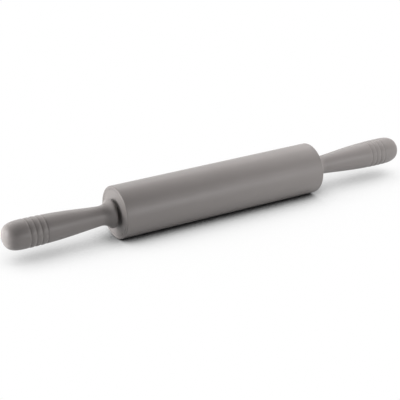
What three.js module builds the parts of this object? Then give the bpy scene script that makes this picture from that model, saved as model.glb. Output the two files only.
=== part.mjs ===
// Silicone rolling pin: a barrel that turns on an axle between two tapered handles.
// Millimetres, +Z up. The axis lies along X, and the barrel rests on z = 0 with its middle over the origin.
import * as THREE from "three";

// Barrel: a silicone sleeve on a stiff tube
const BARREL_RADIUS = 26;
const BARREL_LENGTH = 229.6;
const BARREL_EDGE_ROUND = 1;
const SLEEVE_WALL = 3;
const CORE_WALL = 4;

// End caps: a web with a spigot ring in the tube and a hub round the bush
const CAP_WEB = 4;
const CAP_SPIGOT_DEPTH = 9;
const CAP_SPIGOT_WALL = 2.5;
const CAP_HUB_WALL = 2.5;

// Axle, flanged bushes, thrust washers and locknuts
const AXLE_RADIUS = 4;
const SHOULDER = 1;
const STUD_TAIL = 2;
const BUSH_WALL = 1.8;
const BUSH_LENGTH = 14;
const BUSH_FLANGE = 1.5;
const BUSH_FLANGE_LIP = 1.7;
const WASHER_LIP = 3.2;
const WASHER_THICKNESS = 1;
const NUT_FLATS = 10;
const NUT_HEIGHT = 3.2;

// Handles: a brass insert in a stiff core, under a silicone skin
const INSERT_WALL = 1.9;
const INSERT_LENGTH = 18;
const INSERT_BORE_RELIEF = 2;
const HANDLE_REACH = 115.1;
const SKIN = 1.6;
const FLANGE_RADIUS = 14.3;
const FLANGE_RIM = 1;
const FLANGE_EDGE_ROUND = 0.5;
const FLARE_LENGTH = 13.3;
const NECK_WALL = 2.1;
const SWELL_RADIUS = 14;
const TIP_LENGTH = 19.7;

// Ring grooves of the grip, counted back from the widest place, with crowned bands between them
const GROOVE_COUNT = 4;
const GROOVE_PITCH = 5.7;
const GROOVE_WIDTH = 3;
const GROOVE_DEPTH = 0.45;
const GROOVE_SETBACK = 3;
const BAND_CROWN = 0.12;

// Fullness of the grip's curves, as shares of the stretch that each control point belongs to
const FLARE_LEAD = 0.23;
const FLARE_RUN_OUT = 0.68;
const TAPER_START = 1 / 3;
const TAPER_RISE = 0.45;
const SWELL_LEAD = 0.49;
const TIP_SHOULDER = 0.62;
const TIP_FULLNESS = 0.88;

// Clearances
const SEAT_GAP = 0.1;
const RUNNING_CLEARANCE = 0.05;
const END_PLAY = 0.2;

// Sides of the round pieces: even numbers, so that a flat lies underneath
const BARREL_SIDES = 48;
const HANDLE_SIDES = 28;
const SHAFT_SIDES = 24;
const ROUND_STEPS = 3;
const FLARE_STEPS = 8;
const TAPER_STEPS = 10;
const TIP_STEPS = 7;
const UNDER_SKIN_STEPS = 5;
const SPAN_TOLERANCE = 1e-9;

// Finishes
const SILICONE = { color: 0x8a8582, roughness: 0.6, metalness: 0 };
const PLASTIC = { color: 0x77736f, roughness: 0.5, metalness: 0 };
const ACETAL = { color: 0x1c1c1e, roughness: 0.4, metalness: 0 };
const STEEL = { color: 0xb4b6b8, roughness: 0.35, metalness: 1 };
const BRASS = { color: 0xb89a55, roughness: 0.35, metalness: 1 };

// Radius at the corners of a many-sided bore whose flats clear a round piece of the given radius.
function boreFor(radius, clearance, sides) {
  return (radius + clearance) / Math.cos(Math.PI / sides);
}

// A profile point: its radius, and its place along the axis.
function at(radius, along) {
  return new THREE.Vector2(radius, along);
}

// A solid of revolution about X, with a flat underneath. Its profile runs towards +X on the outside.
function turned(profile, sides) {
  return new THREE.LatheGeometry(profile, sides, Math.PI / sides).rotateZ(-Math.PI / 2);
}

// A turned ring: its profile closes on itself.
function turnedRing(profile, sides) {
  return turned([...profile, profile[0]], sides);
}

// A quarter round about its centre, from an angle that is counted from the outward direction towards +X.
function quarterRound(radius, along, round, from) {
  const steps = Array.from({ length: ROUND_STEPS + 1 }, (_, i) => from + (i / ROUND_STEPS) * (Math.PI / 2));
  return steps.map((angle) => at(radius + round * Math.cos(angle), along + round * Math.sin(angle)));
}

function piece(name, geometry, finish) {
  const mesh = new THREE.Mesh(geometry, new THREE.MeshStandardMaterial(finish));
  mesh.name = name;
  return mesh;
}

// Radii that the barrel's pieces share
const sleeveBore = BARREL_RADIUS - SLEEVE_WALL;
const coreRadius = sleeveBore - SEAT_GAP;
const coreBore = coreRadius - CORE_WALL;
const bushBore = boreFor(AXLE_RADIUS, RUNNING_CLEARANCE, SHAFT_SIDES);
const bushRadius = bushBore + BUSH_WALL;
const capBore = boreFor(bushRadius, SEAT_GAP, BARREL_SIDES);
const studRadius = AXLE_RADIUS - SHOULDER;
const studBore = boreFor(studRadius, SEAT_GAP, SHAFT_SIDES);

// Places along the axis, counted outwards from the barrel's end face
const face = BARREL_LENGTH / 2;
const bushSeat = face + SEAT_GAP;
const washerSeat = bushSeat + BUSH_FLANGE + END_PLAY;
const nutSeat = washerSeat + WASHER_THICKNESS + SEAT_GAP;
const insertSeat = nutSeat + NUT_HEIGHT + SEAT_GAP;
const insertEnd = insertSeat + INSERT_LENGTH;
const studEnd = insertEnd + STUD_TAIL;
const flarePlace = nutSeat + FLANGE_RIM;
const neckPlace = flarePlace + FLARE_LENGTH;
const tipEnd = face + HANDLE_REACH;
const swellPlace = tipEnd - TIP_LENGTH;

// The neck is as slim as the locknut's pocket allows.
const nutCorner = NUT_FLATS / Math.sqrt(3);
const nutPocket = boreFor(nutCorner, SEAT_GAP, HANDLE_SIDES);
const neckRadius = nutPocket + NECK_WALL + SKIN;

function barrelSleeve() {
  const edge = BARREL_RADIUS - BARREL_EDGE_ROUND;
  const edgePlace = face - BARREL_EDGE_ROUND;
  return turnedRing(
    [
      at(sleeveBore, -face),
      ...quarterRound(edge, -edgePlace, BARREL_EDGE_ROUND, -Math.PI / 2),
      ...quarterRound(edge, edgePlace, BARREL_EDGE_ROUND, 0),
      at(sleeveBore, face),
    ],
    BARREL_SIDES,
  );
}

function barrelCore() {
  const end = face - CAP_WEB - SEAT_GAP;
  return turnedRing(
    [at(coreBore, -end), at(coreRadius, -end), at(coreRadius, end), at(coreBore, end)],
    BARREL_SIDES,
  );
}

function endCap() {
  const spigot = coreBore - SEAT_GAP;
  const hub = capBore + CAP_HUB_WALL;
  const web = face - CAP_WEB;
  const spigotEnd = web - CAP_SPIGOT_DEPTH;
  return turnedRing(
    [
      at(capBore, spigotEnd),
      at(hub, spigotEnd),
      at(hub, web),
      at(spigot - CAP_SPIGOT_WALL, web),
      at(spigot - CAP_SPIGOT_WALL, spigotEnd),
      at(spigot, spigotEnd),
      at(spigot, web),
      at(coreRadius, web),
      at(coreRadius, face),
      at(capBore, face),
    ],
    BARREL_SIDES,
  );
}

function bush() {
  const lip = bushRadius + BUSH_FLANGE_LIP;
  return turnedRing(
    [
      at(bushBore, bushSeat - BUSH_LENGTH),
      at(bushRadius, bushSeat - BUSH_LENGTH),
      at(bushRadius, bushSeat),
      at(lip, bushSeat),
      at(lip, bushSeat + BUSH_FLANGE),
      at(bushBore, bushSeat + BUSH_FLANGE),
    ],
    SHAFT_SIDES,
  );
}

function axleRod() {
  const shoulder = washerSeat - SEAT_GAP;
  return turned(
    [
      at(0, -studEnd),
      at(studRadius, -studEnd),
      at(studRadius, -shoulder),
      at(AXLE_RADIUS, -shoulder),
      at(AXLE_RADIUS, shoulder),
      at(studRadius, shoulder),
      at(studRadius, studEnd),
      at(0, studEnd),
    ],
    SHAFT_SIDES,
  );
}

function ringOnStud(radius, from, to) {
  return turnedRing([at(studBore, from), at(radius, from), at(radius, to), at(studBore, to)], SHAFT_SIDES);
}

function thrustWasher() {
  return ringOnStud(AXLE_RADIUS + WASHER_LIP, washerSeat, washerSeat + WASHER_THICKNESS);
}

function threadInsert() {
  return ringOnStud(studBore + INSERT_WALL, insertSeat, insertEnd);
}

function locknut() {
  const corners = Array.from({ length: 6 }, (_, i) => {
    const angle = (i * Math.PI) / 3;
    return new THREE.Vector2(nutCorner * Math.cos(angle), nutCorner * Math.sin(angle));
  });
  const outline = new THREE.Shape(corners);
  outline.holes.push(new THREE.Path().absarc(0, 0, studBore, 0, 2 * Math.PI));
  const hole = { curveSegments: SHAFT_SIDES / 2 };
  const nut = new THREE.ExtrudeGeometry(outline, { depth: NUT_HEIGHT, bevelEnabled: false, ...hole });
  return nut.rotateY(Math.PI / 2).translate(nutSeat, 0, 0);
}

// The grip's three outer curves: the flare from the rim to the neck, the long taper and the round tip.
function gripCurves() {
  const swell = SWELL_RADIUS - neckRadius;
  const taper = swellPlace - neckPlace;
  const rise = TAPER_RISE * swell;
  const run = TAPER_START * taper;
  const runOut = FLARE_RUN_OUT * FLARE_LENGTH;
  const flare = new THREE.CubicBezierCurve(
    at(FLANGE_RADIUS, flarePlace),
    at(FLANGE_RADIUS, flarePlace + FLARE_LEAD * FLARE_LENGTH),
    at(neckRadius - (rise / run) * runOut, neckPlace - runOut),
    at(neckRadius, neckPlace),
  );
  const body = new THREE.CubicBezierCurve(
    at(neckRadius, neckPlace),
    at(neckRadius + rise, neckPlace + run),
    at(SWELL_RADIUS, swellPlace - SWELL_LEAD * taper),
    at(SWELL_RADIUS, swellPlace),
  );
  const tip = new THREE.CubicBezierCurve(
    at(SWELL_RADIUS, swellPlace),
    at(SWELL_RADIUS, swellPlace + TIP_SHOULDER * TIP_LENGTH),
    at(TIP_FULLNESS * SWELL_RADIUS, tipEnd),
    at(0, tipEnd),
  );
  return { flare, body, tip };
}

const { flare, body, tip } = gripCurves();

// Radius of the taper at a place along the axis, by halving the curve's span.
function taperRadius(along) {
  let low = 0;
  let high = 1;
  while (high - low > SPAN_TOLERANCE) {
    const middle = (low + high) / 2;
    if (body.getPoint(middle).y < along) low = middle;
    else high = middle;
  }
  return body.getPoint(low).x;
}

// One ring groove with a round bottom, as five profile points.
function groove(along) {
  return [-0.5, -0.25, 0, 0.25, 0.5].map((share) => {
    const place = along + share * GROOVE_WIDTH;
    const depth = GROOVE_DEPTH * (1 - 4 * share * share);
    return at(taperRadius(place) - depth, place);
  });
}

// The taper with its ring grooves, from the neck to the widest place.
function groovedTaper() {
  const last = swellPlace - GROOVE_SETBACK;
  const places = Array.from({ length: GROOVE_COUNT }, (_, i) => last - (GROOVE_COUNT - 1 - i) * GROOVE_PITCH);
  const grooves = places.flatMap(groove);
  const middles = places.slice(1).map((place) => place - GROOVE_PITCH / 2);
  const bands = middles.map((middle) => at(taperRadius(middle) + BAND_CROWN, middle));
  const inGrooves = (point) => point.y > grooves[0].y - GROOVE_WIDTH && point.y < last + GROOVE_WIDTH;
  const plain = body.getPoints(TAPER_STEPS).filter((point) => !inGrooves(point));
  return [...plain, ...grooves, ...bands].sort((a, b) => a.y - b.y);
}

// A curve of the grip moved inwards by a depth, without its last point, which starts the next curve.
function movedInwards(curve, depth) {
  return Array.from({ length: UNDER_SKIN_STEPS }, (_, i) => {
    const point = curve.getPoint(i / UNDER_SKIN_STEPS);
    const tangent = curve.getTangent(i / UNDER_SKIN_STEPS);
    return at(point.x - depth * tangent.y, point.y + depth * tangent.x);
  });
}

// The grip's outside without grooves, moved inwards by a depth: the skin's cavity, or the core that fills it.
function underSkin(depth) {
  const moved = [flare, body, tip].flatMap((curve) => movedInwards(curve, depth));
  return [at(FLANGE_RADIUS - depth, nutSeat), ...moved, at(0, tipEnd - depth)];
}

function handleGrip() {
  const rim = FLANGE_RADIUS - FLANGE_EDGE_ROUND;
  return turned(
    [
      ...underSkin(SKIN).reverse(),
      ...quarterRound(rim, nutSeat + FLANGE_EDGE_ROUND, FLANGE_EDGE_ROUND, -Math.PI / 2),
      ...flare.getPoints(FLARE_STEPS).slice(0, -1),
      ...groovedTaper(),
      ...tip.getPoints(TIP_STEPS).slice(1),
    ],
    HANDLE_SIDES,
  );
}

function handleCore() {
  const insertHole = boreFor(studBore + INSERT_WALL, SEAT_GAP, HANDLE_SIDES);
  const insertStop = insertEnd + SEAT_GAP;
  const studHole = boreFor(studRadius, SEAT_GAP, HANDLE_SIDES);
  const studHoleEnd = studEnd + INSERT_BORE_RELIEF;
  return turned(
    [
      at(0, studHoleEnd),
      at(studHole, studHoleEnd),
      at(studHole, insertStop),
      at(insertHole, insertStop),
      at(insertHole, insertSeat),
      at(nutPocket, insertSeat),
      at(nutPocket, nutSeat),
      ...underSkin(SKIN + SEAT_GAP),
    ],
    HANDLE_SIDES,
  );
}

// Both ends of the pin are the same, so the left one is the right one turned about Z.
const barrel = new THREE.Group();
barrel.add(piece("barrel_sleeve", barrelSleeve(), SILICONE));
barrel.add(piece("barrel_core", barrelCore(), PLASTIC));

const handles = new THREE.Group();
handles.add(piece("axle_rod", axleRod(), STEEL));

for (const { side, turn } of [
  { side: "right", turn: 0 },
  { side: "left", turn: Math.PI },
]) {
  const barrelEnd = new THREE.Group();
  barrelEnd.rotation.z = turn;
  barrelEnd.add(piece(`${side}_end_cap`, endCap(), SILICONE));
  barrelEnd.add(piece(`${side}_bush`, bush(), ACETAL));
  barrel.add(barrelEnd);

  const handle = new THREE.Group();
  handle.rotation.z = turn;
  handle.add(piece(`${side}_thrust_washer`, thrustWasher(), STEEL));
  handle.add(piece(`${side}_locknut`, locknut(), STEEL));
  handle.add(piece(`${side}_thread_insert`, threadInsert(), BRASS));
  handle.add(piece(`${side}_handle_core`, handleCore(), PLASTIC));
  handle.add(piece(`${side}_handle_grip`, handleGrip(), SILICONE));
  handles.add(handle);
}

// The axis is as high as the barrel's flat underneath is far from it.
const pin = new THREE.Group();
pin.add(barrel, handles);
pin.position.z = BARREL_RADIUS * Math.cos(Math.PI / BARREL_SIDES);

export default new THREE.Group().add(pin);
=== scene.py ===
"""Looks of a silicone rolling pin: skins, caps and bearings over the fixed solids, in a pale studio."""

import logging
import math
from abc import ABC, abstractmethod
from bisect import bisect_left
from collections.abc import Iterable, Sequence
from dataclasses import dataclass
from enum import Enum
from typing import ClassVar

import bmesh
import bpy
from mathutils import Matrix, Vector
from mathutils.geometry import interpolate_bezier


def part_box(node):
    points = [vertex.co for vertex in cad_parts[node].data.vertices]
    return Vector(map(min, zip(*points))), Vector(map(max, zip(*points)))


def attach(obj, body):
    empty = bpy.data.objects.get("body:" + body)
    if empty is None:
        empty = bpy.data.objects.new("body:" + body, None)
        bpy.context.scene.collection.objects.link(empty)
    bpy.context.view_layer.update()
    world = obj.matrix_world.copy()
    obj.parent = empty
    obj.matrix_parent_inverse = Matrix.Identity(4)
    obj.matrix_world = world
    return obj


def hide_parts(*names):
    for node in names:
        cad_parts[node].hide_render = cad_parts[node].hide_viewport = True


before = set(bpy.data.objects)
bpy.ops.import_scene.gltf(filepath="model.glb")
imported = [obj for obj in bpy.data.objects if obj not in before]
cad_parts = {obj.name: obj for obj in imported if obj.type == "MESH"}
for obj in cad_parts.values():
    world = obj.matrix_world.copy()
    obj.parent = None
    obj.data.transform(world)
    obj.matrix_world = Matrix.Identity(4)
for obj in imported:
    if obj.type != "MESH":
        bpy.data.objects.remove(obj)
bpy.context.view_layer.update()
log = logging.getLogger("rolling_pin")

MM = 0.001

# Linear red, green and blue.
Colour = tuple[float, float, float]
# X, Y and Z in metres.
Place = tuple[float, float, float]
# A place along the pin's axis and the radius there, in millimetres.
Ring = tuple[float, float]


class Side(Enum):
    """An end of the pin."""

    LEFT = "left"
    RIGHT = "right"

    @property
    def turn(self) -> Matrix:
        """The turn about Z that brings a right-hand piece to this end."""
        return Matrix.Rotation(math.pi if self is Side.LEFT else 0.0, 4, "Z")


class Body(Enum):
    """A body of the frame that pieces ride on."""

    BARREL = "barrel"
    HANDLES = "handles"


class Slot(Enum):
    """A material slot of the record."""

    SILICONE = "silicone"
    BUSH_PLASTIC = "bush_plastic"
    STEEL = "steel"


def grey(level: float) -> tuple[float, float, float, float]:
    """Gives the opaque grey of a linear level, from 0 for black to 1 for white."""
    return level, level, level, 1.0


def heading(azimuth: float, elevation: float) -> Vector:
    """Finds the direction from the pin to something around it.

    Args:
        azimuth: Degrees from the front, to the right.
        elevation: Degrees above the floor.

    Returns:
        The direction, one metre long.
    """
    around = math.radians(azimuth)
    above = math.radians(elevation)
    level = math.cos(above)
    return Vector((math.sin(around) * level, -math.cos(around) * level, math.sin(above)))


def stand(
    name: str, data: bpy.types.Light | bpy.types.Camera, place: Place | Vector, back: Vector
) -> bpy.types.Object:
    """Puts a lamp or a camera into the scene.

    Args:
        name: Its name.
        data: What it is.
        place: Where it stands.
        back: The direction that its back points in.

    Returns:
        The new object.
    """
    holder = bpy.data.objects.new(name, data)
    holder.location = place
    holder.rotation_mode = "QUATERNION"
    holder.rotation_quaternion = back.to_track_quat("Z", "Y")
    bpy.context.scene.collection.objects.link(holder)
    return holder


class Board:
    """A shader node tree, with short ways to add nodes and to join them."""

    def __init__(self, tree: bpy.types.NodeTree) -> None:
        """Takes over the node tree of a material, a world or a group, and empties it."""
        self.tree = tree
        tree.nodes.clear()

    def add(self, kind: str, **settings: object) -> bpy.types.Node:
        """Adds a node.

        Args:
            kind: The node's type name in Blender.
            **settings: Properties of the node.

        Returns:
            The new node.
        """
        node = self.tree.nodes.new(kind)
        for key, value in settings.items():
            setattr(node, key, value)
        return node

    def join(self, source: bpy.types.NodeSocket, target: bpy.types.NodeSocket) -> None:
        """Links an output to an input."""
        self.tree.links.new(source, target)

    def compute(self, operation: str, *terms: bpy.types.NodeSocket | float) -> bpy.types.NodeSocket:
        """Adds a Math node.

        Args:
            operation: The node's operation.
            *terms: Outputs to link, or plain numbers.

        Returns:
            The node's output.
        """
        node = self.add("ShaderNodeMath", operation=operation)
        for socket, term in zip(node.inputs, terms):
            if isinstance(term, bpy.types.NodeSocket):
                self.join(term, socket)
            else:
                socket.default_value = term
        return node.outputs[0]

    def spread(self, value: bpy.types.NodeSocket, low: float, high: float) -> bpy.types.NodeSocket:
        """Spreads a value between 0 and 1 over a range.

        Args:
            value: The output to spread.
            low: What 0 becomes.
            high: What 1 becomes.

        Returns:
            The spread value.
        """
        node = self.add("ShaderNodeMapRange")
        node.inputs["To Min"].default_value = low
        node.inputs["To Max"].default_value = high
        self.join(value, node.inputs["Value"])
        return node.outputs["Result"]

    def blend(self, share: bpy.types.NodeSocket, first: Colour, second: Colour) -> bpy.types.NodeSocket:
        """Blends two colours.

        Args:
            share: The output that says how much of the second colour shows.
            first: Linear colour at 0.
            second: Linear colour at 1.

        Returns:
            The blended colour.
        """
        node = self.add("ShaderNodeMix", data_type="RGBA")
        self.join(share, node.inputs["Factor"])
        node.inputs["A"].default_value = (*first, 1.0)
        node.inputs["B"].default_value = (*second, 1.0)
        return next(socket for socket in node.outputs if socket.type == "RGBA")

    def dent(self, height: bpy.types.NodeSocket, depth: float) -> bpy.types.NodeSocket:
        """Adds a Bump node.

        Args:
            height: The output that says how high the surface is, from 0 to 1.
            depth: Metres from the lowest to the highest.

        Returns:
            The dented normal.
        """
        node = self.add("ShaderNodeBump")
        node.inputs["Distance"].default_value = depth
        self.join(height, node.inputs["Height"])
        return node.outputs["Normal"]

    def mix(
        self, share: bpy.types.NodeSocket, first: bpy.types.NodeSocket, second: bpy.types.NodeSocket
    ) -> bpy.types.NodeSocket:
        """Mixes two shaders.

        Args:
            share: The output that says how much of the second shader shows.
            first: Shader at 0.
            second: Shader at 1.

        Returns:
            The mixed shader.
        """
        node = self.add("ShaderNodeMixShader")
        for source, socket in zip((share, first, second), node.inputs):
            self.join(source, socket)
        return node.outputs["Shader"]

    def close(self, kind: str, shader: bpy.types.NodeSocket) -> None:
        """Adds an output node of a kind, and gives it the shader of the surface."""
        self.join(shader, self.add(kind).inputs["Surface"])


class Group(ABC):
    """A shader node group, built when it is first asked for."""

    NAME: ClassVar[str]
    INPUTS: ClassVar[dict[str, str]]
    OUTPUTS: ClassVar[tuple[str, ...]]

    @classmethod
    def tree(cls) -> bpy.types.NodeTree:
        """Gives the group.

        Returns:
            Its node tree.
        """
        if cls.NAME in bpy.data.node_groups:
            return bpy.data.node_groups[cls.NAME]
        tree = bpy.data.node_groups.new(cls.NAME, "ShaderNodeTree")
        for name, kind in cls.INPUTS.items():
            tree.interface.new_socket(name, in_out="INPUT", socket_type=kind)
        for name in cls.OUTPUTS:
            tree.interface.new_socket(name, in_out="OUTPUT", socket_type="NodeSocketFloat")
        board = Board(tree)
        cls.wire(board, board.add("NodeGroupInput"), board.add("NodeGroupOutput"))
        return tree

    @classmethod
    @abstractmethod
    def wire(cls, board: Board, given: bpy.types.Node, result: bpy.types.Node) -> None:
        """Works the result node's values out from the given node's."""


class MouldGrain(Group):
    """The group of moulded surfaces: soft clouds of tone, and the fine grain of the mould."""

    NAME = "mould_grain"
    INPUTS = {
        "Vector": "NodeSocketVector",
        "Cloud Size": "NodeSocketFloat",
        "Grain Size": "NodeSocketFloat",
    }
    DETAILS: ClassVar[dict[str, float]] = {"Cloud": 2.0, "Grain": 1.0}
    OUTPUTS = tuple(DETAILS)

    @classmethod
    def wire(cls, board: Board, given: bpy.types.Node, result: bpy.types.Node) -> None:
        """Lays one noise for the clouds and one for the grain.

        Args:
            board: The group's tree.
            given: The node that holds the inputs.
            result: The node that takes the outputs.
        """
        for output, detail in cls.DETAILS.items():
            noise = board.add("ShaderNodeTexNoise")
            noise.inputs["Detail"].default_value = detail
            board.join(given.outputs["Vector"], noise.inputs["Vector"])
            board.join(board.compute("DIVIDE", 1.0, given.outputs[f"{output} Size"]), noise.inputs["Scale"])
            board.join(noise.outputs["Fac"], result.inputs[output])


class LatheMarks(Group):
    """The group of turned metal: fine rings that a cutting tool leaves round the pin's axis."""

    NAME = "lathe_marks"
    INPUTS = {"Vector": "NodeSocketVector", "Pitch": "NodeSocketFloat"}
    OUTPUTS = ("Marks",)
    DETAIL: ClassVar[float] = 1.0

    @classmethod
    def wire(cls, board: Board, given: bpy.types.Node, result: bpy.types.Node) -> None:
        """Lays a noise along the tool's way, outwards over a face and along a shaft.

        Args:
            board: The group's tree.
            given: The node that holds the inputs.
            result: The node that takes the outputs.
        """
        parts = board.add("ShaderNodeSeparateXYZ")
        board.join(given.outputs["Vector"], parts.inputs[0])
        across = board.compute("MULTIPLY", parts.outputs["Y"], parts.outputs["Y"])
        upward = board.compute("MULTIPLY", parts.outputs["Z"], parts.outputs["Z"])
        radius = board.compute("SQRT", board.compute("ADD", across, upward))
        travel = board.compute("ADD", parts.outputs["X"], radius)
        noise = board.add("ShaderNodeTexNoise", noise_dimensions="1D")
        noise.inputs["Detail"].default_value = cls.DETAIL
        noise.inputs["Scale"].default_value = 1.0
        board.join(board.compute("DIVIDE", travel, given.outputs["Pitch"]), noise.inputs["W"])
        board.join(noise.outputs["Fac"], result.inputs["Marks"])


@dataclass(frozen=True)
class Finish(ABC):
    """A procedural finish. Sizes are metres, colours are linear."""

    name: str
    dark: Colour
    pale: Colour
    smoothest: float
    dullest: float

    def material(self) -> bpy.types.Material:
        """Gives the finish's material, which is built on the first call.

        Returns:
            The material.
        """
        if self.name in bpy.data.materials:
            return bpy.data.materials[self.name]
        made = bpy.data.materials.new(self.name)
        made.use_nodes = True
        board = Board(made.node_tree)
        shader = board.add("ShaderNodeBsdfPrincipled")
        self.paint(board, shader)
        board.close("ShaderNodeOutputMaterial", shader.outputs["BSDF"])
        return made

    @abstractmethod
    def paint(self, board: Board, shader: bpy.types.Node) -> None:
        """Lays the finish's pattern on a material's board, and joins it to the Principled BSDF there."""


@dataclass(frozen=True)
class MouldedFinish(Finish):
    """A matte moulded finish, for silicone and for plastic."""

    cloud_size: float = 0.035
    grain_size: float = 0.0006
    grain_depth: float = 0.00002
    ior: float = 1.45

    def paint(self, board: Board, shader: bpy.types.Node) -> None:
        """Lays clouds of tone, and a grain that dents and dulls.

        Args:
            board: The material's tree.
            shader: Its Principled BSDF.
        """
        place = board.add("ShaderNodeTexCoord")
        grain = board.add("ShaderNodeGroup", node_tree=MouldGrain.tree())
        grain.inputs["Cloud Size"].default_value = self.cloud_size
        grain.inputs["Grain Size"].default_value = self.grain_size
        board.join(place.outputs["Object"], grain.inputs["Vector"])
        tone = board.blend(grain.outputs["Cloud"], self.dark, self.pale)
        dulled = board.spread(grain.outputs["Grain"], self.smoothest, self.dullest)
        normal = board.dent(grain.outputs["Grain"], self.grain_depth)
        shader.inputs["IOR"].default_value = self.ior
        board.join(tone, shader.inputs["Base Color"])
        board.join(dulled, shader.inputs["Roughness"])
        board.join(normal, shader.inputs["Normal"])


@dataclass(frozen=True)
class TurnedFinish(Finish):
    """A turned metal with fine tool rings."""

    axis_height: float
    pitch: float = 0.0004
    mark_depth: float = 0.00001

    def paint(self, board: Board, shader: bpy.types.Node) -> None:
        """Lays rings round the pin's axis, pale and smooth between dark and dull.

        Args:
            board: The material's tree.
            shader: Its Principled BSDF.
        """
        place = board.add("ShaderNodeTexCoord")
        centred = board.add("ShaderNodeMapping")
        centred.inputs["Location"].default_value = (0.0, 0.0, -self.axis_height)
        board.join(place.outputs["Object"], centred.inputs["Vector"])
        marks = board.add("ShaderNodeGroup", node_tree=LatheMarks.tree())
        marks.inputs["Pitch"].default_value = self.pitch
        board.join(centred.outputs["Vector"], marks.inputs["Vector"])
        tone = board.blend(marks.outputs["Marks"], self.dark, self.pale)
        dulled = board.spread(marks.outputs["Marks"], self.dullest, self.smoothest)
        normal = board.dent(marks.outputs["Marks"], self.mark_depth)
        shader.inputs["Metallic"].default_value = 1.0
        board.join(tone, shader.inputs["Base Color"])
        board.join(dulled, shader.inputs["Roughness"])
        board.join(normal, shader.inputs["Normal"])


class Workpiece:
    """A piece turned about the pin's axis, in millimetres.

    It is shaped step by step at the right end, and then put in its place.
    """

    MERGE_GAP: ClassVar[float] = 0.0001
    NEARNESS: ClassVar[float] = 0.01
    SHARP_ANGLE: ClassVar[float] = math.radians(45.0)

    def __init__(self, name: str, axis_height: float) -> None:
        """Starts an empty piece.

        Args:
            name: The piece's name.
            axis_height: Height of the pin's axis in metres.
        """
        self.name = name
        self.axis_height = axis_height
        self.mesh = bmesh.new()

    def spin(self, outline: Sequence[Ring], steps: int, closed: bool) -> None:
        """Spins an outline round the axis.

        Args:
            outline: Places along the axis, each with its radius.
            steps: Steps of a full turn.
            closed: Whether the outline's end joins its start.
        """
        corners = [self.mesh.verts.new((along, 0.0, radius)) for along, radius in outline]
        pairs = list(zip(corners, corners[1:]))
        if closed:
            pairs.append((corners[-1], corners[0]))
        sides = [self.mesh.edges.new(pair) for pair in pairs]
        bmesh.ops.spin(
            self.mesh,
            geom=corners + sides,
            cent=(0.0, 0.0, 0.0),
            axis=(1.0, 0.0, 0.0),
            dvec=(0.0, 0.0, 0.0),
            angle=2 * math.pi,
            steps=steps,
            use_merge=True,
            use_duplicate=False,
        )
        bmesh.ops.remove_doubles(self.mesh, verts=self.mesh.verts, dist=self.MERGE_GAP)
        bmesh.ops.recalc_face_normals(self.mesh, faces=self.mesh.faces)

    def thicken(self, wall: float) -> None:
        """Gives an open skin its wall, inwards."""
        bmesh.ops.solidify(self.mesh, geom=self.mesh.faces[:], thickness=wall)

    def rings_at(self, along: float, radius: float) -> list[bmesh.types.BMEdge]:
        """Finds a ring of edges.

        Args:
            along: Place along the axis.
            radius: Distance from the axis.

        Returns:
            The edges that lie there.
        """
        near = {
            corner
            for corner in self.mesh.verts
            if abs(corner.co.x - along) < self.NEARNESS
            and abs(math.hypot(corner.co.y, corner.co.z) - radius) < self.NEARNESS
        }
        return [edge for edge in self.mesh.edges if near.issuperset(edge.verts)]

    def sharp_edges(self) -> list[bmesh.types.BMEdge]:
        """Finds the edges at which two faces meet at more than half a right angle."""
        return [edge for edge in self.mesh.edges if edge.calc_face_angle(0.0) > self.SHARP_ANGLE]

    def round_off(self, edges: Iterable[bmesh.types.BMEdge], radius: float, segments: int) -> None:
        """Rounds edges.

        Args:
            edges: The edges to round.
            radius: Radius of the round.
            segments: Steps across the round.
        """
        bmesh.ops.bevel(
            self.mesh,
            geom=list(edges),
            offset=radius,
            offset_type="OFFSET",
            affect="EDGES",
            segments=segments,
            profile=0.5,
            material=-1,
            clamp_overlap=True,
            loop_slide=True,
        )

    def guard(self, margin: float, least_area: float) -> None:
        """Lays a narrow margin inside each band of large faces, to keep its shading even up to the rounds.

        Args:
            margin: Width of the margin.
            least_area: Area of a face from which its band gets a margin.
        """
        large = [face for face in self.mesh.faces if face.calc_area() > least_area]
        bmesh.ops.inset_region(
            self.mesh, faces=large, thickness=margin, depth=0.0, use_boundary=True, use_even_offset=True
        )

    def place(self, side: Side, finish: Finish, slot: Slot, body: Body, *nodes: str) -> bpy.types.Object:
        """Makes the piece an object of the frame.

        Args:
            side: The end of the pin that the piece goes to.
            finish: What it is finished with.
            slot: The record's slot that the finish belongs to; not used.
            body: The body that it rides on.
            *nodes: The solids that it stands for.

        Returns:
            The finished object.
        """
        lift = Matrix.Translation((0.0, 0.0, self.axis_height))
        matrix = lift @ side.turn @ Matrix.Scale(MM, 4)
        bmesh.ops.transform(self.mesh, matrix=matrix, verts=self.mesh.verts)
        for face in self.mesh.faces:
            face.smooth = True
        data = bpy.data.meshes.new(self.name)
        self.mesh.to_mesh(data)
        self.mesh.free()
        piece = bpy.data.objects.new(self.name, data)
        bpy.context.scene.collection.objects.link(piece)
        data.materials.append(finish.material())
        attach(piece, body.value)
        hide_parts(*nodes)
        log.info("%s: %d faces on %s", piece.name, len(data.polygons), body.value)
        return piece


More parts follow.
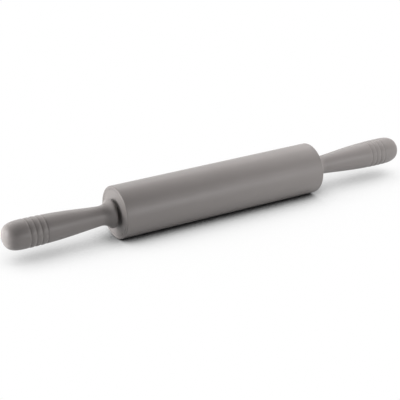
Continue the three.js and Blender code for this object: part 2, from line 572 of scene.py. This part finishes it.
@dataclass
class Barrel:
    """The turning barrel: its silicone sleeve, the caps in its ends and their flanged bushes.

    Sizes are millimetres.
    """

    axis_height: float
    silicone: Finish
    bush_plastic: Finish
    radius: float = 26.0
    length: float = 229.6
    sleeve_wall: float = 3.0
    edge_round: float = 1.0
    edge_segments: int = 8
    seam: float = 0.1
    seam_round: float = 0.2
    web: float = 4.0
    spigot_depth: float = 9.0
    spigot_radius: float = 18.8
    spigot_wall: float = 2.5
    cap_bore: float = 6.0
    hub_wall: float = 2.5
    bush_bore: float = 4.05
    bush_radius: float = 5.88
    bush_lip: float = 1.7
    bush_length: float = 14.0
    bush_flange: float = 1.5
    bush_round: float = 0.3
    small_segments: int = 3
    margin: float = 0.3
    large_face: float = 0.5
    steps: int = 256
    bush_steps: int = 96

    @property
    def face(self) -> float:
        """Place of the end face along the axis."""
        return self.length / 2

    def sleeve(self) -> bpy.types.Object:
        """Builds the sleeve.

        Returns:
            A tube with rounded ends.
        """
        bore = self.radius - self.sleeve_wall
        work = Workpiece("sleeve_skin", self.axis_height)
        ends = [(-self.face, bore), (-self.face, self.radius), (self.face, self.radius), (self.face, bore)]
        work.spin(ends, self.steps, closed=True)
        for end in (-self.face, self.face):
            work.round_off(work.rings_at(end, self.radius), self.edge_round, self.edge_segments)
            work.round_off(work.rings_at(end, bore), self.seam_round, self.small_segments)
        work.guard(self.margin, self.large_face)
        return work.place(Side.RIGHT, self.silicone, Slot.SILICONE, Body.BARREL, "barrel_sleeve")

    def end_cap(self, side: Side) -> bpy.types.Object:
        """Builds the cap in one end.

        Args:
            side: The end that it closes.

        Returns:
            A flat disc with a spigot and a hub behind it.
        """
        rim = self.radius - self.sleeve_wall - self.seam
        hub = self.cap_bore + self.hub_wall
        back = self.face - self.web
        deep = back - self.spigot_depth
        inner = self.spigot_radius - self.spigot_wall
        outline = [
            (deep, self.cap_bore),
            (deep, hub),
            (back, hub),
            (back, inner),
            (deep, inner),
            (deep, self.spigot_radius),
            (back, self.spigot_radius),
            (back, rim),
            (self.face, rim),
            (self.face, self.cap_bore),
        ]
        work = Workpiece(f"{side.value}_cap_disc", self.axis_height)
        work.spin(outline, self.steps, closed=True)
        work.round_off(work.sharp_edges(), self.seam_round, self.small_segments)
        work.guard(self.margin, self.large_face)
        return work.place(side, self.silicone, Slot.SILICONE, Body.BARREL, f"{side.value}_end_cap")

    def bush(self, side: Side) -> bpy.types.Object:
        """Builds the flanged bush in one cap.

        Args:
            side: The end that it sits in.

        Returns:
            A black plain bearing.
        """
        seat = self.face + self.seam
        lip = self.bush_radius + self.bush_lip
        outline = [
            (seat - self.bush_length, self.bush_bore),
            (seat - self.bush_length, self.bush_radius),
            (seat, self.bush_radius),
            (seat, lip),
            (seat + self.bush_flange, lip),
            (seat + self.bush_flange, self.bush_bore),
        ]
        work = Workpiece(f"{side.value}_bearing", self.axis_height)
        work.spin(outline, self.bush_steps, closed=True)
        work.round_off(work.sharp_edges(), self.bush_round, self.small_segments)
        return work.place(side, self.bush_plastic, Slot.BUSH_PLASTIC, Body.BARREL, f"{side.value}_bush")

    def build(self) -> None:
        """Builds and dresses the sleeve, the caps and the bushes."""
        self.sleeve()
        for side in Side:
            self.end_cap(side)
            self.bush(side)


@dataclass
class Handle:
    """One handle: its silicone grip, and the washer between it and the barrel.

    Sizes are millimetres. The flare, the taper and the tip of the grip are one Bezier curve each. Leads,
    run-out, taper_start, taper_rise, tip_shoulder and tip_fullness are shares that set the curves' control
    points. Next to the outer grooves, groove_clearance times a groove's width stays free of taper points.
    """

    side: Side
    axis_height: float
    silicone: Finish
    steel: Finish
    back: float = 117.7
    tip_end: float = 229.9
    skin: float = 1.6
    flange_radius: float = 14.3
    flange_rim: float = 1.55
    flange_round: float = 1.5
    flange_segments: int = 8
    flare_length: float = 12.75
    flare_lead: float = 0.23
    flare_run_out: float = 0.68
    neck_radius: float = 9.61
    taper_start: float = 1 / 3
    taper_rise: float = 0.45
    swell_radius: float = 14.0
    swell_lead: float = 0.49
    tip_length: float = 19.7
    tip_shoulder: float = 0.62
    tip_fullness: float = 0.88
    groove_count: int = 4
    groove_pitch: float = 5.7
    groove_width: float = 3.0
    groove_depth: float = 0.45
    groove_setback: float = 3.0
    groove_clearance: float = 0.6
    band_crown: float = 0.12
    washer_bore: float = 3.12
    washer_radius: float = 7.2
    washer_from: float = 116.6
    washer_to: float = 117.6
    washer_round: float = 0.15
    washer_segments: int = 3
    steps: int = 192
    washer_steps: int = 96
    flare_points: int = 28
    taper_points: int = 48
    close_taper_points: int = 400
    tip_points: int = 36
    groove_points: int = 13
    band_points: int = 7

    @staticmethod
    def arc(knots: Sequence[Ring], count: int) -> list[Ring]:
        """Takes a count of points, both ends among them, on the Bezier curve of four control points."""
        start, lead, trail, end = (Vector((along, 0.0, radius)) for along, radius in knots)
        return [(point.x, point.z) for point in interpolate_bezier(start, lead, trail, end, count)]

    def curves(self) -> tuple[list[Ring], list[Ring], list[Ring]]:
        """Gives the control points of the grip's outside.

        Returns:
            Those of the flare from the rim to the neck, of the long taper and of the round tip.
        """
        start = self.back + self.flange_rim
        neck = start + self.flare_length
        swell = self.tip_end - self.tip_length
        taper = swell - neck
        rise = self.taper_rise * (self.swell_radius - self.neck_radius)
        run = self.taper_start * taper
        run_out = self.flare_run_out * self.flare_length
        flare = [
            (start, self.flange_radius),
            (start + self.flare_lead * self.flare_length, self.flange_radius),
            (neck - run_out, self.neck_radius - rise / run * run_out),
            (neck, self.neck_radius),
        ]
        body = [
            (neck, self.neck_radius),
            (neck + run, self.neck_radius + rise),
            (swell - self.swell_lead * taper, self.swell_radius),
            (swell, self.swell_radius),
        ]
        tip = [
            (swell, self.swell_radius),
            (swell + self.tip_shoulder * self.tip_length, self.swell_radius),
            (self.tip_end, self.tip_fullness * self.swell_radius),
            (self.tip_end, 0.0),
        ]
        return flare, body, tip

    @property
    def grooves(self) -> list[float]:
        """Places of the ring grooves, from the neck to the tip."""
        last = self.tip_end - self.tip_length - self.groove_setback
        return [last - self.groove_pitch * i for i in reversed(range(self.groove_count))]

    def groove(self, taper: Sequence[Ring], place: float) -> list[Ring]:
        """Lays one ring groove, a soft wave.

        Args:
            taper: Close points of the plain taper.
            place: Its middle along the axis.

        Returns:
            Points across the groove.
        """
        half_steps = self.groove_points // 2
        points = []
        for step in range(-half_steps, half_steps + 1):
            share = step / half_steps
            along = place + share * self.groove_width / 2
            dip = self.groove_depth * (1 + math.cos(math.pi * share)) / 2
            points.append((along, self.radius_on(taper, along) - dip))
        return points

    def band(self, taper: Sequence[Ring], start: float, end: float) -> list[Ring]:
        """Lays the crowned band between two grooves.

        Args:
            taper: Close points of the plain taper.
            start: Where the groove before it ends.
            end: Where the groove after it starts.

        Returns:
            Points across the band, without both ends.
        """
        third = (end - start) / 3
        # The middle of a cubic Bezier curve rises by three quarters of what its inner control points do.
        lift = self.band_crown * 4 / 3
        knots = [
            (start, self.radius_on(taper, start)),
            (start + third, self.radius_on(taper, start + third) + lift),
            (end - third, self.radius_on(taper, end - third) + lift),
            (end, self.radius_on(taper, end)),
        ]
        return self.arc(knots, self.band_points)[1:-1]

    @staticmethod
    def radius_on(taper: Sequence[Ring], along: float) -> float:
        """Finds the plain taper's radius at a place.

        Args:
            taper: Close points of the plain taper.
            along: The place along the axis.

        Returns:
            The radius between the two points next to it.
        """
        after = bisect_left(taper, (along,))
        (start, low), (end, high) = taper[after - 1], taper[after]
        return low + (high - low) * (along - start) / (end - start)

    def banded(self, taper: Sequence[Ring]) -> list[Ring]:
        """Lays the ring grooves and the bands between them over the taper.

        Args:
            taper: Close points of the plain taper.

        Returns:
            Points from the start of the first groove to the end of the last one.
        """
        half = self.groove_width / 2
        first, *others = self.grooves
        points = self.groove(taper, first)
        for before, place in zip(self.grooves, others):
            points += self.band(taper, before + half, place - half)
            points += self.groove(taper, place)
        return points

    def outline(self) -> list[Ring]:
        """Gives the grip's outside.

        Returns:
            Points from the flange to the tip, closer together where the grooves are.
        """
        flare, body, tip = self.curves()
        bands = self.banded(self.arc(body, self.close_taper_points))
        plain = self.arc(body, self.taper_points)[:-1]
        clear = self.groove_clearance * self.groove_width
        before = [point for point in plain if point[0] <= bands[0][0] - clear]
        after = [point for point in plain if point[0] >= bands[-1][0] + clear]
        rim = [(self.back, self.flange_radius)]
        flared = self.arc(flare, self.flare_points)[:-1]
        return rim + flared + before + bands + after + self.arc(tip, self.tip_points)

    def grip(self) -> bpy.types.Object:
        """Builds the grip.

        Returns:
            A skin with a flange, a flare, a long taper, ring grooves and a round tip.
        """
        work = Workpiece(f"{self.side.value}_grip_skin", self.axis_height)
        work.spin(self.outline(), self.steps, closed=False)
        work.thicken(self.skin)
        lip = work.rings_at(self.back, self.flange_radius)
        work.round_off(lip, self.flange_round, self.flange_segments)
        return work.place(
            self.side, self.silicone, Slot.SILICONE, Body.HANDLES, f"{self.side.value}_handle_grip"
        )

    def washer(self) -> bpy.types.Object:
        """Builds the thrust washer.

        Returns:
            A steel ring with softened edges.
        """
        outline = [
            (self.washer_from, self.washer_bore),
            (self.washer_from, self.washer_radius),
            (self.washer_to, self.washer_radius),
            (self.washer_to, self.washer_bore),
        ]
        work = Workpiece(f"{self.side.value}_washer", self.axis_height)
        work.spin(outline, self.washer_steps, closed=True)
        work.round_off(work.sharp_edges(), self.washer_round, self.washer_segments)
        return work.place(
            self.side, self.steel, Slot.STEEL, Body.HANDLES, f"{self.side.value}_thrust_washer"
        )

    def build(self) -> None:
        """Builds and dresses the grip and the washer."""
        self.grip()
        self.washer()


@dataclass
class Insides:
    """The solids that stay as they are inside the pin, and only get a finish."""

    plastic: Finish
    steel: Finish
    brass: Finish

    def build(self) -> None:
        """Dresses the barrel's tube, the axle, the locknuts, the thread inserts and the handles' cores."""
        dressed = {"barrel_core": self.plastic, "axle_rod": self.steel}
        for side in Side:
            dressed[f"{side.value}_locknut"] = self.steel
            dressed[f"{side.value}_thread_insert"] = self.brass
            dressed[f"{side.value}_handle_core"] = self.plastic
        for node, finish in dressed.items():
            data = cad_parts[node].data
            data.materials.clear()
            data.materials.append(finish.material())
            log.info("%s: finished in %s", node, finish.name)


@dataclass(frozen=True)
class Softbox:
    """A broad soft lamp far from the pin.

    Azimuth 0 is in front, 90 to the right. Angles are degrees, the strength is watts per square metre.
    """

    name: str
    azimuth: float
    elevation: float
    spread: float
    strength: float

    def hang(self) -> None:
        """Makes the lamp and points it at the pin."""
        towards = heading(self.azimuth, self.elevation)
        lamp = bpy.data.lights.new(self.name, "SUN")
        lamp.energy = self.strength
        lamp.angle = math.radians(self.spread)
        stand(self.name, lamp, towards, towards)


@dataclass(frozen=True)
class Panel:
    """A round lamp close to the pin, in metres and watts, whose shape doesn't show in the pin's gloss."""

    name: str
    place: Place
    aim: Place
    size: float
    strength: float

    def hang(self) -> None:
        """Makes the lamp and points it at its aim."""
        lamp = bpy.data.lights.new(self.name, "AREA")
        lamp.shape = "DISK"
        lamp.size = self.size
        lamp.energy = self.strength
        holder = stand(self.name, lamp, self.place, Vector(self.place) - Vector(self.aim))
        holder.visible_glossy = False
        holder.visible_camera = False


@dataclass
class Studio:
    """A pale floor, soft lamps, a white room and the camera, in metres and degrees.

    The painted shadow's tones say how bright the floor shows where that share of the sky is open above it.
    """

    floor_height: float
    lamps: tuple[Softbox | Panel, ...]
    floor_grey: float = 0.4
    floor_size: float = 6.0
    floor_squares: int = 8
    painted_shadow_reach: float = 0.2
    painted_shadow_samples: int = 8
    # Painted shadow: shares of open sky, and the floor's grey shown there.
    painted_shadow_tones: tuple[tuple[float, float], ...] = (
        (0.21, 0.0), (0.31, 0.25), (0.46, 0.52), (0.58, 0.71), (0.70, 0.89), (0.88, 1.0),
    )
    room_light: float = 0.02
    backdrop_from: float = 18.0
    backdrop_to: float = 10.0
    camera_place: Place = (-0.6056, -0.9417, 0.4710)
    camera_azimuth: float = -31.92
    camera_elevation: float = 22.2
    camera_lens: float = 108.51
    camera_sensor: float = 36.0

    @staticmethod
    def seen(board: Board) -> bpy.types.NodeSocket:
        """Tells what the camera sees, directly, in gloss or through glass, from what only gives light.

        Args:
            board: The tree that asks.

        Returns:
            1 for a ray that shows the background, and 0 for others.
        """
        path = board.add("ShaderNodeLightPath")
        shown = board.compute("MAXIMUM", path.outputs["Is Camera Ray"], path.outputs["Is Glossy Ray"])
        return board.compute("MAXIMUM", shown, path.outputs["Is Transmission Ray"])

    def painted_shadow(self, board: Board) -> bpy.types.NodeSocket:
        """Paints the soft shadow round the pin into the floor's glow, darker where less sky is open above.

        Args:
            board: The floor's tree.

        Returns:
            The floor's tone with its painted shadow, dark where little of the sky is open above it.
        """
        # Painted shadow: the floor shows darker where less sky is open above it, whatever the lamps do.
        open_sky = board.add("ShaderNodeAmbientOcclusion", samples=self.painted_shadow_samples)
        open_sky.inputs["Distance"].default_value = self.painted_shadow_reach
        tones = board.add("ShaderNodeValToRGB")
        stops = tones.color_ramp.elements
        darkest, *between, lightest = self.painted_shadow_tones
        for stop, (share, tone) in zip(stops, (darkest, lightest)):
            stop.position = share
            stop.color = grey(tone)
        for share, tone in between:
            stops.new(share).color = grey(tone)
        board.join(open_sky.outputs["AO"], tones.inputs["Fac"])
        return tones.outputs["Color"]

    def floor_material(self) -> bpy.types.Material:
        """Builds the floor's finish.

        Returns:
            A matte grey for the light that falls on it, which shows as white with a painted soft shadow.
        """
        made = bpy.data.materials.new("pale_floor")
        made.use_nodes = True
        board = Board(made.node_tree)
        matte = board.add("ShaderNodeBsdfDiffuse")
        matte.inputs["Color"].default_value = grey(self.floor_grey)
        # The floor's glow as the camera and the gloss see it: white, with the painted shadow round the pin.
        shown = board.add("ShaderNodeEmission")
        board.join(self.painted_shadow(board), shown.inputs["Color"])
        mixed = board.mix(self.seen(board), matte.outputs["BSDF"], shown.outputs["Emission"])
        board.close("ShaderNodeOutputMaterial", mixed)
        return made

    def lay_floor(self) -> None:
        """Lays the floor under the pin."""
        sheet = bmesh.new()
        squares = self.floor_squares
        bmesh.ops.create_grid(sheet, x_segments=squares, y_segments=squares, size=self.floor_size)
        bmesh.ops.translate(sheet, vec=(0.0, 0.0, self.floor_height), verts=sheet.verts)
        data = bpy.data.meshes.new("floor")
        sheet.to_mesh(data)
        sheet.free()
        data.materials.append(self.floor_material())
        floor = bpy.data.objects.new("floor", data)
        bpy.context.scene.collection.objects.link(floor)

    def light_room(self) -> None:
        """Fills the room with dim light, and shows a white backdrop all round the floor."""
        world = bpy.data.worlds.new("room")
        world.use_nodes = True
        board = Board(world.node_tree)
        dim = board.add("ShaderNodeBackground")
        dim.inputs["Strength"].default_value = self.room_light
        white = board.add("ShaderNodeBackground")
        for background in (dim, white):
            background.inputs["Color"].default_value = grey(1.0)
        direction = board.add("ShaderNodeTexCoord")
        parts = board.add("ShaderNodeSeparateXYZ")
        board.join(direction.outputs["Generated"], parts.inputs[0])
        low = board.add("ShaderNodeMapRange", interpolation_type="SMOOTHSTEP")
        low.inputs["From Min"].default_value = math.sin(math.radians(self.backdrop_from))
        low.inputs["From Max"].default_value = math.sin(math.radians(self.backdrop_to))
        board.join(parts.outputs["Z"], low.inputs["Value"])
        backdrop = board.compute("MULTIPLY", low.outputs["Result"], self.seen(board))
        mixed = board.mix(backdrop, dim.outputs["Background"], white.outputs["Background"])
        board.close("ShaderNodeOutputWorld", mixed)
        bpy.context.scene.world = world

    def set_camera(self) -> None:
        """Sets the camera up where the photograph was taken from."""
        data = bpy.data.cameras.new("camera")
        data.sensor_width = self.camera_sensor
        data.lens = self.camera_lens
        back = heading(self.camera_azimuth, self.camera_elevation)
        bpy.context.scene.camera = stand("camera", data, self.camera_place, back)

    def build(self) -> None:
        """Builds the floor, the room, the lamps and the camera."""
        bpy.context.scene.view_settings.view_transform = "Standard"
        self.lay_floor()
        self.light_room()
        for lamp in self.lamps:
            lamp.hang()
        self.set_camera()


def dress(axis_height: float) -> Barrel:
    """Builds the pin's pieces in order.

    Args:
        axis_height: Height of the pin's axis in metres.

    Returns:
        The barrel, which the floor lies under.
    """
    silicone = MouldedFinish(
        "grey_silicone",
        dark=(0.216, 0.199, 0.193),
        pale=(0.240, 0.222, 0.215),
        smoothest=0.33,
        dullest=0.43,
    )
    plastic = MouldedFinish(
        "core_plastic",
        dark=(0.165, 0.155, 0.147),
        pale=(0.195, 0.185, 0.175),
        smoothest=0.42,
        dullest=0.56,
        grain_size=0.0009,
    )
    bearing = MouldedFinish(
        "bearing_plastic",
        dark=(0.010, 0.010, 0.011),
        pale=(0.016, 0.016, 0.017),
        smoothest=0.3,
        dullest=0.42,
        cloud_size=0.008,
    )
    steel = TurnedFinish(
        "turned_steel",
        dark=(0.42, 0.43, 0.44),
        pale=(0.56, 0.57, 0.58),
        smoothest=0.24,
        dullest=0.38,
        axis_height=axis_height,
    )
    brass = TurnedFinish(
        "turned_brass",
        dark=(0.44, 0.29, 0.08),
        pale=(0.58, 0.40, 0.13),
        smoothest=0.24,
        dullest=0.36,
        axis_height=axis_height,
    )

    barrel = Barrel(axis_height, silicone, bearing)
    barrel.build()
    for side in Side:
        Handle(side, axis_height, silicone, steel).build()
    Insides(plastic, steel, brass).build()
    return barrel


def photo_lamps() -> tuple[Softbox | Panel, ...]:
    """Chooses the lamps that light the pin as in the photograph.

    Returns:
        Broad ones far from the pin, then round ones close to its left tip and round its middle.
    """
    middle = (0.0, 0.0, 0.03)
    left_tip = (-0.21, 0.0, 0.03)
    return (
        Softbox("left_end", azimuth=255.0, elevation=22.0, spread=30.0, strength=1.44),
        Softbox("back_right", azimuth=150.0, elevation=40.0, spread=30.0, strength=0.34),
        Softbox("low_back_right", azimuth=160.0, elevation=25.0, spread=30.0, strength=0.11),
        Softbox("low_front", azimuth=25.0, elevation=8.0, spread=12.0, strength=0.29),
        Panel("left_tip", place=(-0.56, 0.13, 0.07), aim=left_tip, size=0.15, strength=1.54),
        Panel("close_left_tip", place=(-0.30, 0.05, 0.03), aim=left_tip, size=0.08, strength=0.09),
        Panel("near_back_left", place=(-0.23, 0.40, 0.42), aim=middle, size=0.3, strength=3.17),
        Panel("near_back_right", place=(0.40, 0.23, 0.42), aim=middle, size=0.3, strength=2.82),
        Panel("near_right", place=(0.46, 0.0, 0.42), aim=middle, size=0.3, strength=0.88),
        Panel("near_front_right", place=(0.35, -0.50, 0.30), aim=middle, size=0.3, strength=1.87),
        Panel("near_front", place=(0.15, -0.57, 0.15), aim=middle, size=0.3, strength=0.66),
    )


def main() -> None:
    """Builds the pin and the studio in order."""
    logging.basicConfig(level=logging.INFO, format="%(message)s")
    low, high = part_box("axle_rod")
    axis_height = (low.z + high.z) / 2
    barrel = dress(axis_height)
    Studio(axis_height - barrel.radius * MM, photo_lamps()).build()


if __name__ == "__main__":
    main()
